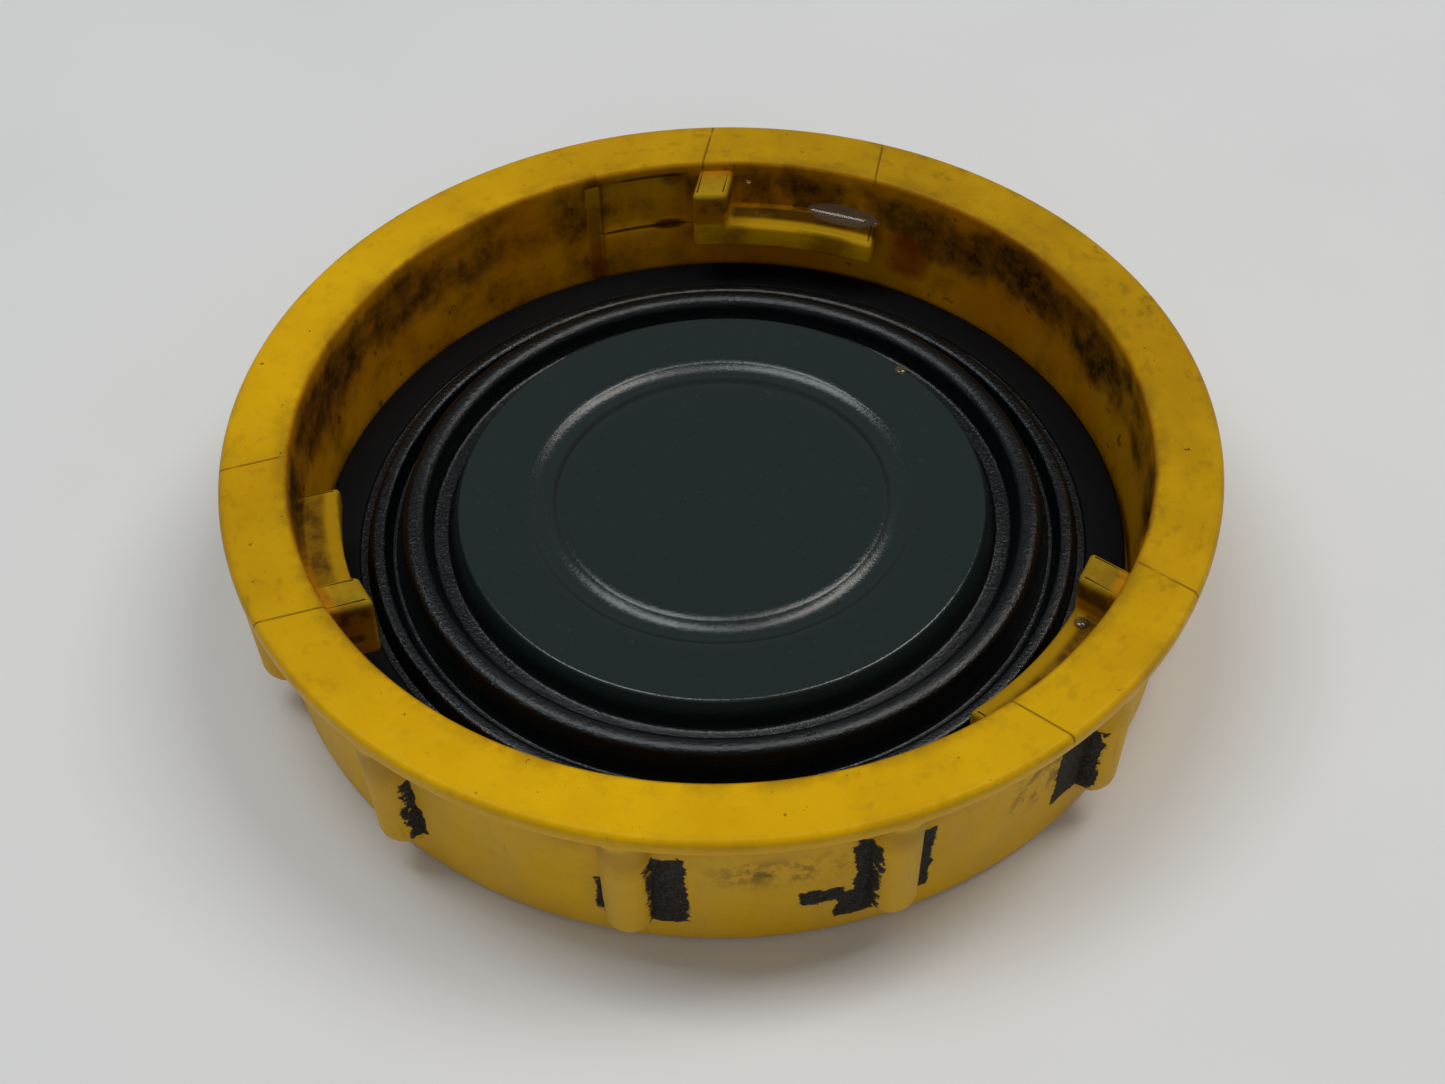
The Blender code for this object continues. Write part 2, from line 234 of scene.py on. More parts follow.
class Finish:
    """A material under construction, with short ways to add and link its nodes."""

    def __init__(self, name, roughness):
        self.material = bpy.data.materials.new(name)
        self.material.use_nodes = True
        self.tree = self.material.node_tree
        self.shader = self.tree.nodes["Principled BSDF"]
        self.shader.inputs["Roughness"].default_value = roughness
        self.point = self.add("ShaderNodeTexCoord").outputs["Object"]
        split = self.add("ShaderNodeSeparateXYZ")
        self.feed(split.inputs[0], self.point)
        self.height = split.outputs["Z"]
        flat = self.add("ShaderNodeCombineXYZ")
        self.feed(flat.inputs["X"], split.outputs["X"])
        self.feed(flat.inputs["Y"], split.outputs["Y"])
        length = self.add("ShaderNodeVectorMath")
        length.operation = "LENGTH"
        self.feed(length.inputs[0], flat.outputs[0])
        self.radius = length.outputs["Value"]
        self.azimuth = self.math("ARCTAN2", split.outputs["Y"], split.outputs["X"])

    def add(self, kind):
        return self.tree.nodes.new(kind)

    def feed(self, socket, value):
        """Link an output to a socket, or set the socket's own value."""
        if isinstance(value, bpy.types.NodeSocket):
            self.tree.links.new(value, socket)
        elif isinstance(value, tuple) and len(value) == 3 and socket.type == "RGBA":
            socket.default_value = (*value, 1.0)
        else:
            socket.default_value = value

    def math(self, operation, *values, clamp=False):
        node = self.add("ShaderNodeMath")
        node.operation = operation
        node.use_clamp = clamp
        for socket, value in zip(node.inputs, values):
            self.feed(socket, value)
        return node.outputs[0]

    def ramp(self, value, low, high):
        """0 below low and 1 above high, or the other way round when low is above high."""
        node = self.add("ShaderNodeMapRange")
        node.interpolation_type = "SMOOTHSTEP"
        node.clamp = True
        flip = low > high
        self.feed(node.inputs["Value"], value)
        self.feed(node.inputs["From Min"], min(low, high))
        self.feed(node.inputs["From Max"], max(low, high))
        self.feed(node.inputs["To Min"], 1.0 if flip else 0.0)
        self.feed(node.inputs["To Max"], 0.0 if flip else 1.0)
        return node.outputs["Result"]

    def band(self, value, low, high, soft):
        """1 between low and high, with soft ends."""
        above_low = self.ramp(value, low - soft, low + soft)
        below_high = self.ramp(value, high + soft, high - soft)
        return self.math("MULTIPLY", above_low, below_high)

    def noise_at(self, place, scale, detail, roughness):
        """Noise read at a place that other nodes give."""
        node = self.add("ShaderNodeTexNoise")
        self.feed(node.inputs["Vector"], place)
        self.feed(node.inputs["Scale"], scale)
        self.feed(node.inputs["Detail"], detail)
        self.feed(node.inputs["Roughness"], roughness)
        return node.outputs["Fac"]

    def noise(self, scale, detail=3.0, roughness=0.55, squeeze=None):
        """Cloudy noise, with a scale in features per metre, which squeeze multiplies along each axis."""
        place = self.point
        if squeeze is not None:
            mapping = self.add("ShaderNodeMapping")
            self.feed(mapping.inputs["Vector"], self.point)
            mapping.inputs["Scale"].default_value = squeeze
            place = mapping.outputs["Vector"]
        return self.noise_at(place, scale, detail, roughness)

    def polar_noise(self, around, radial, upright, detail=3.0, roughness=0.55):
        """Noise with its own scale round the axis, out from it and along it."""
        place = self.add("ShaderNodeCombineXYZ")
        self.feed(place.inputs["X"], self.math("MULTIPLY", self.azimuth, around))
        self.feed(place.inputs["Y"], self.math("MULTIPLY", self.radius, radial))
        self.feed(place.inputs["Z"], self.math("MULTIPLY", self.height, upright))
        return self.noise_at(place.outputs[0], 1.0, detail, roughness)

    def mix(self, share, first, second):
        node = self.add("ShaderNodeMix")
        node.data_type = "RGBA"
        self.feed(node.inputs["Factor"], share)
        self.feed(node.inputs[6], first)
        self.feed(node.inputs[7], second)
        return node.outputs[2]

    def all_of(self, *masks):
        """Several masks or shares multiplied together."""
        total = masks[0]
        for mask in masks[1:]:
            total = self.math("MULTIPLY", total, mask)
        return total

    def any_of(self, *masks):
        """The strongest of several masks."""
        total = masks[0]
        for mask in masks[1:]:
            total = self.math("MAXIMUM", total, mask)
        return total

    def plus(self, base, value, share):
        """The base with a share of a value added to it."""
        return self.math("MULTIPLY_ADD", value, share, base)

    def away(self, degrees):
        """Turn from an angle to the shaded point, in radians, the short way round."""
        turned = self.math("SUBTRACT", self.azimuth, math.radians(degrees))
        return self.math("WRAP", turned, math.pi, -math.pi)

    def near(self, degrees, edge, full):
        """0 where further than edge from an angle and 1 where nearer than full, both in radians."""
        return self.ramp(self.math("ABSOLUTE", self.away(degrees)), edge, full)

    def beside(self, degrees):
        """Distance from an angle, measured round the axis."""
        return self.math("MULTIPLY", self.math("ABSOLUTE", self.away(degrees)), self.radius)

    def cover(self, tone, *masks):
        """Lay a tone over the tone so far, as strongly as the masks and shares say together."""
        self.tone = self.mix(self.all_of(*masks), self.tone, tone)

    def color(self, value):
        self.feed(self.shader.inputs["Base Color"], value)

    def rough(self, value):
        self.feed(self.shader.inputs["Roughness"], value)

    def bump(self, height, distance, strength=1.0):
        node = self.add("ShaderNodeBump")
        self.feed(node.inputs["Height"], height)
        self.feed(node.inputs["Distance"], distance)
        self.feed(node.inputs["Strength"], strength)
        self.feed(self.shader.inputs["Normal"], node.outputs["Normal"])


def scaled(color, *factors):
    """A colour with each channel multiplied by its own factor."""
    return tuple(channel * factor for channel, factor in zip(color, factors))


# Black paint left beside the grip ribs: angle and height of the middle, half width and half height
PAINT_PATCHES = (
    (-128.7, 0.0080, 0.00022, 0.0018),
    (-128.4, 0.0052, 0.00036, 0.0016),
    (-104.7, 0.0050, 0.00034, 0.0020),
    (-96.9, 0.0064, 0.00120, 0.0037),
    (-74.9, 0.0070, 0.00060, 0.0036),
    (-75.9, 0.0034, 0.00125, 0.0014),
    (-79.6, 0.0048, 0.00135, 0.0008),
    (-67.6, 0.0062, 0.00050, 0.0034),
    (-46.3, 0.0068, 0.00150, 0.0031),
)
PAINT_RAGGEDNESS = 0.0018

# Dark residue beside the far lug's block: angle and height of the middle, half width and half height
RESIDUES = (
    (97.0, 0.0090, 0.0013, 0.0004),
    (101.0, 0.0090, 0.0040, 0.00012),
    (96.2, 0.0131, 0.0011, 0.0007),
    (99.4, 0.0136, 0.0030, 0.0002),
)


class MouldingFinish(Finish):
    """Worn yellow plastic with some painted shade: a mask for each region of the moulding and a method for
    each kind of wear or shade.
    """

    def __init__(self, settings):
        super().__init__("yellow_plastic", 0.42)
        self.shader.inputs["Specular IOR Level"].default_value = 0.28
        self.shader.inputs["Specular Tint"].default_value = (1.0, 0.72, 0.18, 1.0)
        self.clean = tuple(settings.plastic_color)
        self.grime = tuple(settings.grime_color)
        self.cloudy = self.noise(70.0, 4.0)
        self.patchy = self.noise(210.0, 5.0, 0.62)
        self.fine = self.noise(1100.0, 5.0, 0.65)

        self.inner_edge = RIM_RADIUS - settings.rim_width
        inside = self.ramp(self.radius, self.inner_edge + 0.0004, self.inner_edge - 0.0001)
        above_seat = self.ramp(self.height, FLANGE_BOTTOM - 0.001, FLANGE_BOTTOM)
        self.inner_wall = self.all_of(inside, above_seat)
        self.on_lug = self.ramp(self.radius, self.inner_edge - 0.0005, self.inner_edge - 0.0009)
        off_lug = self.math("SUBTRACT", 1.0, self.on_lug)
        at_top = self.ramp(self.height, RIM_TOP - 0.0010, RIM_TOP - 0.0004)
        self.on_rim = self.all_of(at_top, off_lug)
        outside = self.ramp(self.radius, RIM_RADIUS - 0.0030, RIM_RADIUS - 0.0025)
        below_lip = self.ramp(self.height, RIM_TOP - 0.0014, RIM_TOP - 0.0020)
        self.outer_wall = self.all_of(outside, below_lip)

    def mottle(self):
        """Cloudy yellow with duller flecks and paler dabs."""
        self.tone = self.clean
        self.cover(scaled(self.clean, 0.92, 0.88, 1.0), self.ramp(self.cloudy, 0.35, 0.70))
        self.cover((0.36, 0.20, 0.01), self.ramp(self.fine, 0.56, 0.74), 0.20)
        dull = self.ramp(self.noise(260.0, 5.0, 0.55), 0.38, 0.68)
        self.cover(scaled(self.clean, 0.72, 0.66, 1.0), dull, 0.24)
        dab = self.ramp(self.noise(150.0, 4.0, 0.6, (1.0, 1.4, 1.0)), 0.55, 0.75)
        self.cover(scaled(self.clean, 0.98, 1.12, 4.0), dab, 0.35)

    def darken_and_stain_rim(self):
        """Broad darkening towards the far right and beside the left lug, worn edges, blotches and specks."""
        # A broad darkening of the rim towards the far right and beside the left lug
        far_right = self.all_of(self.near(42.0, 2.5, 0.25), 0.52)
        left = self.all_of(self.near(-163.0, 0.65, 0.05), 0.34)
        rim_darkening = self.all_of(self.any_of(far_right, left), self.plus(0.45, self.patchy, 1.1))
        self.cover((0.17, 0.085, 0.002), rim_darkening, self.on_rim)
        smear = self.ramp(self.polar_noise(20.0, 900.0, 900.0, 5.0, 0.6), 0.52, 0.72)
        self.cover((0.20, 0.105, 0.004), smear, self.on_rim, self.plus(0.14, rim_darkening, 0.6))

        inner_worn = self.ramp(self.radius, self.inner_edge + 0.0014, self.inner_edge + 0.0001)
        outer_worn = self.ramp(self.radius, RIM_RADIUS - 0.0009, RIM_RADIUS - 0.0001)
        worn = self.any_of(inner_worn, self.all_of(outer_worn, 0.35))
        rubbed = self.ramp(self.noise(260.0, 5.0, 0.65), 0.36, 0.62)
        self.cover((0.19, 0.105, 0.004), worn, self.on_rim, rubbed, 0.55)

        blotch = self.ramp(self.noise(190.0, 6.0, 0.7), 0.60, 0.72)
        self.cover((0.10, 0.05, 0.004), blotch, self.near(35.0, 1.6, 0.4), self.on_rim, 0.55)
        speck = self.ramp(self.noise(1700.0, 2.0, 0.5), 0.72, 0.78)
        self.cover((0.045, 0.022, 0.003), speck, self.on_rim, 0.75)

    def soil_and_shade_inner_wall(self):
        """A darker, more orange wall of painted shade and bounced yellow light mixed with grime, with brown
        clouds, broken grime near its top and small black spots.
        """
        # Painted shade and bounced yellow light, with some grime: the clear tone darkens the whole inner wall
        # and turns it more orange
        clear = self.mix(self.ramp(self.cloudy, 0.38, 0.62), (0.37, 0.11, 0.001), (0.45, 0.185, 0.001))
        self.cover(clear, self.inner_wall, 0.86)

        cloud = self.polar_noise(5.0, 180.0, 210.0, 4.0, 0.55)
        wisps = self.polar_noise(16.0, 400.0, 420.0, 5.0, 0.65)
        upper = self.all_of(self.ramp(self.height, 0.0082, 0.0108), self.ramp(self.height, 0.0143, 0.0128))
        heavy = self.any_of(self.near(34.0, 0.62, 0.25), self.near(162.0, 0.62, 0.25))
        soil = self.plus(self.all_of(cloud, 0.60), wisps, 0.40)
        soil = self.plus(soil, upper, self.plus(0.10, heavy, 0.09))
        bare_wall = self.math("SUBTRACT", self.inner_wall, self.on_lug, clamp=True)
        self.cover((0.11, 0.040, 0.002), self.ramp(soil, 0.42, 0.68), bare_wall, 0.75)
        broken = self.ramp(self.polar_noise(30.0, 700.0, 1100.0, 5.0, 0.7), 0.36, 0.64)
        broken = self.plus(0.35, broken, 0.65)
        self.cover(self.grime, self.ramp(soil, 0.56, 0.74), bare_wall, broken, 0.95)

        spots = self.ramp(self.noise(700.0, 3.0, 0.6), 0.66, 0.72)
        self.cover((0.012, 0.006, 0.002), spots, self.inner_wall, 0.65)
        for angle, height, half_width, half_height in RESIDUES:
            aside = self.math("DIVIDE", self.beside(angle), half_width)
            above = self.math("DIVIDE", self.math("SUBTRACT", self.height, height), half_height)
            spread = self.plus(self.plus(self.all_of(aside, aside), above, above), self.patchy, 1.2)
            self.cover((0.030, 0.010, 0.002), self.ramp(spread, 2.0, 0.8), self.inner_wall, 0.9)

    def stain_vent(self):
        """A red-brown stripe down the vent groove, with a dark smudge at its top."""
        beside_vent = self.beside(VENT_ANGLE)
        stripe = self.ramp(beside_vent, 0.00062, 0.00030)
        self.cover((0.16, 0.030, 0.002), stripe, self.inner_wall, 0.62)
        smudge = self.ramp(beside_vent, 0.0012, 0.0003)
        vent_top = self.band(self.height, 0.0126, 0.0139, 0.0005)
        self.cover(self.grime, smudge, vent_top, self.inner_wall, 0.8)

    def dirt_and_shade_lugs(self):
        """Pale block tops, mottled ledges that are lighter at their inner edges, painted shade on the blocks'
        sides and a painted shadow below one lug.
        """
        block_top = self.ramp(self.height, RIM_TOP - 0.0016, RIM_TOP - 0.0012)
        block_tone = self.mix(self.ramp(self.patchy, 0.38, 0.62), (0.34, 0.215, 0.006), (0.19, 0.115, 0.006))
        self.cover(block_tone, self.on_lug, block_top, 0.85)

        ledge = self.band(self.height, LEDGE_TOP - 0.0006, LEDGE_TOP + 0.0002, 0.0002)
        ledge = self.all_of(self.on_lug, ledge)
        ledge_tone = self.mix(self.ramp(self.patchy, 0.40, 0.58), (0.22, 0.115, 0.002), (0.035, 0.014, 0.002))
        inner_lip = self.ramp(self.radius, LUG_REACH_RADIUS + 0.0013, LUG_REACH_RADIUS + 0.0007)
        ledge_tone = self.mix(self.all_of(inner_lip, 0.8), ledge_tone, (0.40, 0.225, 0.002))
        self.cover(ledge_tone, ledge, 0.9)
        outer_corner = self.math("SUBTRACT", 1.0, inner_lip)
        self.wet_ledge = self.all_of(self.near(70.0, 0.27, 0.17), ledge, outer_corner)
        self.cover((0.035, 0.012, 0.002), self.wet_ledge, 0.85)

        face = self.ramp(self.radius, LUG_REACH_RADIUS + 0.0002, LUG_REACH_RADIUS + 0.0001)
        face = self.all_of(face, self.on_lug, self.ramp(self.height, LEDGE_TOP + 0.0002, LEDGE_TOP))
        face_tone = self.mix(self.ramp(self.patchy, 0.40, 0.62), (0.56, 0.31, 0.002), (0.24, 0.115, 0.002))
        self.cover(face_tone, face, 0.85)

        # Painted shade on the blocks' side faces above the ledges
        painted_block_shade = self.band(self.height, LEDGE_TOP + 0.0003, RIM_TOP - 0.0012, 0.0002)
        self.cover((0.20, 0.065, 0.001), self.on_lug, painted_block_shade, 0.55)
        block_edge = self.band(self.height, RIM_TOP - 0.0026, RIM_TOP - 0.0013, 0.0003)
        self.cover((0.025, 0.010, 0.002), self.on_lug, block_edge, self.ramp(self.patchy, 0.38, 0.52), 0.80)
        # Painted shadow, red-brown, on the wall just past the far lug's ledge end
        painted_lug_shadow = self.band(self.height, 0.0066, 0.0102, 0.0006)
        self.cover((0.16, 0.022, 0.002), self.near(59.5, 0.085, 0.02), painted_lug_shadow, self.inner_wall, 0.75)

    def haze_and_shade_outer_wall(self):
        """Pale haze, dirt and painted shade under the lip, two smudges between the ribs and fine scuffs."""
        haze = self.ramp(self.noise(160.0, 4.0, squeeze=(1.0, 1.0, 0.5)), 0.25, 0.75)
        self.cover((0.50, 0.33, 0.09), self.outer_wall, haze, 0.42)
        # Dirt and painted shade under the lip, darker towards the lip
        painted_shade_under_lip = self.ramp(self.height, 0.0085, 0.0125)
        dirt_and_shade = self.ramp(self.noise(140.0, 5.0, 0.6), 0.35, 0.65)
        self.cover((0.24, 0.115, 0.012), painted_shade_under_lip, dirt_and_shade, self.outer_wall, 0.55)
        smudges = self.any_of(
            self.all_of(self.near(-84.0, 0.20, 0.05), self.band(self.height, 0.0072, 0.0096, 0.0012)),
            self.all_of(self.near(-52.0, 0.11, 0.03), self.band(self.height, 0.0060, 0.0100, 0.0012)),
        )
        broken = self.ramp(self.polar_noise(24.0, 300.0, 700.0, 5.0, 0.7), 0.42, 0.62)
        self.cover((0.075, 0.040, 0.012), smudges, self.outer_wall, broken, 0.75)
        scuff = self.ramp(self.polar_noise(60.0, 300.0, 160.0, 5.0, 0.7), 0.60, 0.75)
        self.cover((0.16, 0.095, 0.03), scuff, self.outer_wall, 0.25)

    def mark_mould_lines(self):
        """Lines across the rim on both sides of each lug, parallel to the lug's middle."""
        lines = []
        for middle, offset in zip(LUG_MIDDLES, MOULD_LINE_OFFSETS):
            turn = self.away(middle)
            aside = self.math("ABSOLUTE", self.math("MULTIPLY", self.math("SINE", turn), self.radius))
            off_line = self.math("ABSOLUTE", self.math("SUBTRACT", aside, offset))
            same_side = self.ramp(self.math("COSINE", turn), 0.1, 0.3)
            lines.append(self.all_of(self.ramp(off_line, 0.00011, 0.00003), same_side))
        broken = self.ramp(self.noise(420.0, 2.0), 0.28, 0.50)
        self.mould_lines = self.all_of(self.any_of(*lines), self.on_rim, broken)
        self.cover((0.12, 0.05, 0.003), self.mould_lines, 0.72)

    def ragged(self, scale, squeeze=None):
        """A shift that makes a straight edge of the paint ragged."""
        rough = self.math("SUBTRACT", self.noise(scale, 6.0, 0.75, squeeze), 0.5)
        return self.math("MULTIPLY", rough, PAINT_RAGGEDNESS)

    def leave_paint(self):
        """Grainy remains of black paint on the outer wall."""
        shift_across = self.ragged(620.0)
        shift_up = self.ragged(540.0, (1.0, 1.3, 1.6))
        patches = []
        for angle, height, half_width, half_height in PAINT_PATCHES:
            across = self.math("ABSOLUTE", self.plus(shift_across, self.away(angle), self.radius))
            up = self.math("ABSOLUTE", self.math("ADD", self.math("SUBTRACT", self.height, height), shift_up))
            past_side = self.math("SUBTRACT", across, half_width)
            past_end = self.math("SUBTRACT", up, half_height)
            patches.append(self.ramp(self.math("MAXIMUM", past_side, past_end), 0.00006, -0.00004))
        self.paint = self.all_of(self.any_of(*patches), self.outer_wall)
        self.paint_grain = self.noise(4200.0, 4.0, 0.7)
        lit_grain = self.ramp(self.paint_grain, 0.35, 0.70)
        self.cover(self.mix(lit_grain, (0.008, 0.008, 0.009), (0.042, 0.042, 0.045)), self.paint)

    def set_surface(self):
        """Smooth moulded plastic, duller outside and in the paint, and wet on the far ledge."""
        rough = self.plus(0.34, self.fine, 0.16)
        rough = self.plus(rough, self.outer_wall, 0.12)
        rough = self.plus(rough, self.wet_ledge, -0.30)
        self.rough(self.plus(rough, self.paint, 0.25))
        relief = self.all_of(self.noise(2600.0, 3.0), 0.5)
        relief = self.plus(relief, self.mould_lines, -1.5)
        relief = self.plus(relief, self.all_of(self.paint, self.paint_grain), 1.5)
        self.bump(relief, 0.00006, 0.6)


def yellow_plastic(settings):
    """The moulding's finish, with one kind of wear or painted shade laid over another."""
    f = MouldingFinish(settings)
    f.mottle()
    f.darken_and_stain_rim()
    f.soil_and_shade_inner_wall()
    f.stain_vent()
    f.dirt_and_shade_lugs()
    f.haze_and_shade_outer_wall()
    f.mark_mould_lines()
    f.leave_paint()
    f.color(f.tone)
    f.set_surface()
    return f.material


def wet_rubber(settings):
    """Black rubber wetted by fluid: glossy folds and centre with a fine grain."""
    f = Finish("wet_rubber", 0.11)
    centre = f.ramp(f.radius, FOLDS_BEGIN + 0.0004, FOLDS_BEGIN)
    f.tone = tuple(settings.fold_color)
    f.cover(tuple(settings.centre_color), centre)
    f.cover((0.12, 0.13, 0.12), f.ramp(f.noise(2300.0, 4.0, 0.8), 0.60, 0.74), 0.16, centre)
    f.color(f.tone)
    folds = f.plus(1.0, centre, -0.62)
    rough = f.plus(0.085, f.ramp(f.noise(140.0, 3.0), 0.3, 0.8), 0.06)
    groove = f.band(f.radius, 0.0115, 0.0137, 0.0002)
    rough = f.plus(rough, groove, 0.07)
    sparkle = f.ramp(f.noise(3800.0, 3.0, 0.7), 0.60, 0.44)
    f.rough(f.plus(rough, f.all_of(sparkle, folds), 0.15))
    grain = f.all_of(f.noise(3800.0, 3.0, 0.75), folds)
    f.bump(f.plus(grain, f.noise(1500.0, 2.0), 0.2), 0.00008, 0.8)
    return f.material


def dry_rubber(settings):
    """Black rubber of the flange: matt, with a little dust."""
    f = Finish("dry_rubber", 0.60)
    f.shader.inputs["Specular IOR Level"].default_value = 0.12
    f.tone = tuple(settings.flange_color)
    f.cover((0.10, 0.10, 0.09), f.ramp(f.noise(3600.0, 4.0, 0.8), 0.58, 0.80), 0.12)
    f.color(f.tone)
    f.bump(f.noise(5200.0, 3.0, 0.7), 0.00005, 0.5)
    return f.material


def brake_fluid(settings):
    """Thin dark amber fluid that wets the plastic and the rubber."""
    f = Finish("amber_fluid", 0.05)
    f.color(tuple(settings.fluid_color))
    f.shader.inputs["IOR"].default_value = 1.45
    f.shader.inputs["Transmission Weight"].default_value = 0.9
    return f.material


def pale_floor(settings):
    """Matt, almost white floor with faint clouds."""
    f = Finish("pale_floor", 0.7)
    f.tone = tuple(settings.floor_color)
    f.cover(scaled(f.tone, 0.97, 0.97, 0.97), f.ramp(f.noise(35.0, 3.0), 0.3, 0.8))
    f.color(f.tone)
    f.bump(f.noise(1400.0, 4.0), 0.00008, 0.25)
    return f.material


# ---- Settings ----

COLOR = {"size": 3, "subtype": "COLOR", "min": 0.0, "max": 1.0}


class MouldingSettings(bpy.types.PropertyGroup):
    lip_thickness: bpy.props.FloatProperty(
        name="Lip thickness", description="Height of the lip's edge", default=0.0014, unit="LENGTH")
    lip_overhang: bpy.props.FloatProperty(
        name="Lip overhang", description="How far the lip stands out", default=0.0017, unit="LENGTH")
    rim_width: bpy.props.FloatProperty(
        name="Rim width", description="Flat ring round the open side", default=0.0046, unit="LENGTH")
    rib_count: bpy.props.IntProperty(
        name="Grip ribs", description="Number of ribs round the outside", default=12, min=3)
    rib_radius: bpy.props.FloatProperty(
        name="Rib radius", description="Half the width of a grip rib", default=0.0016, unit="LENGTH")
    plastic_color: bpy.props.FloatVectorProperty(
        name="Plastic", description="Colour of the clean plastic", default=(0.74, 0.415, 0.001), **COLOR)
    grime_color: bpy.props.FloatVectorProperty(
        name="Grime", description="Colour of the grime inside", default=(0.020, 0.007, 0.002), **COLOR)


class DiaphragmSettings(bpy.types.PropertyGroup):
    groove_depth: bpy.props.FloatProperty(
        name="Groove depth", description="Depth of the ring groove", default=0.00038, unit="LENGTH")
    web_thickness: bpy.props.FloatProperty(
        name="Web thickness", description="Thickness of the folded rubber", default=0.0012, unit="LENGTH")
    fold_color: bpy.props.FloatVectorProperty(
        name="Folds", description="Colour of the folded rubber", default=(0.0008, 0.0016, 0.0020), **COLOR)
    centre_color: bpy.props.FloatVectorProperty(
        name="Centre", description="Colour of the wet centre", default=(0.010, 0.0185, 0.0175), **COLOR)
    flange_color: bpy.props.FloatVectorProperty(
        name="Flange", description="Colour of the dry flange", default=(0.0018, 0.0018, 0.0022), **COLOR)


class FluidSettings(bpy.types.PropertyGroup):
    drop_radius: bpy.props.FloatProperty(
        name="Drop radius", description="Radius of the largest drop", default=0.0005, unit="LENGTH")
    fluid_color: bpy.props.FloatVectorProperty(
        name="Fluid", description="Colour of the fluid", default=(0.60, 0.42, 0.20), **COLOR)


class StageSettings(bpy.types.PropertyGroup):
    floor_color: bpy.props.FloatVectorProperty(
        name="Floor", description="Colour of the floor", default=(0.75, 0.75, 0.745), **COLOR)
    floor_size: bpy.props.FloatProperty(
        name="Floor size", description="Width of the floor", default=3.0, unit="LENGTH")
    key_power: bpy.props.FloatProperty(
        name="Overhead light", description="Power of the left overhead panel", default=1.35, unit="POWER")
    camera_distance: bpy.props.FloatProperty(
        name="Camera distance", description="From the middle of the rim", default=0.1596, unit="LENGTH")
    camera_elevation: bpy.props.FloatProperty(
        name="Camera elevation", description="Height of the camera above the rim",
        default=math.radians(44.855), subtype="ANGLE")
    camera_tilt: bpy.props.FloatProperty(
        name="Camera tilt", description="How far down the camera looks",
        default=math.radians(47.522), subtype="ANGLE")
    camera_roll: bpy.props.FloatProperty(
        name="Camera roll", description="Turn about the line of sight",
        default=math.radians(-1.39), subtype="ANGLE")
    lens: bpy.props.FloatProperty(
        name="Lens", description="Focal length in millimetres on a 36 mm sensor", default=58.3)


class ReservoirCapSettings(bpy.types.PropertyGroup):
    moulding: bpy.props.PointerProperty(type=MouldingSettings)
    diaphragm: bpy.props.PointerProperty(type=DiaphragmSettings)
    fluid: bpy.props.PointerProperty(type=FluidSettings)
    stage: bpy.props.PointerProperty(type=StageSettings)


# ---- Operators ----

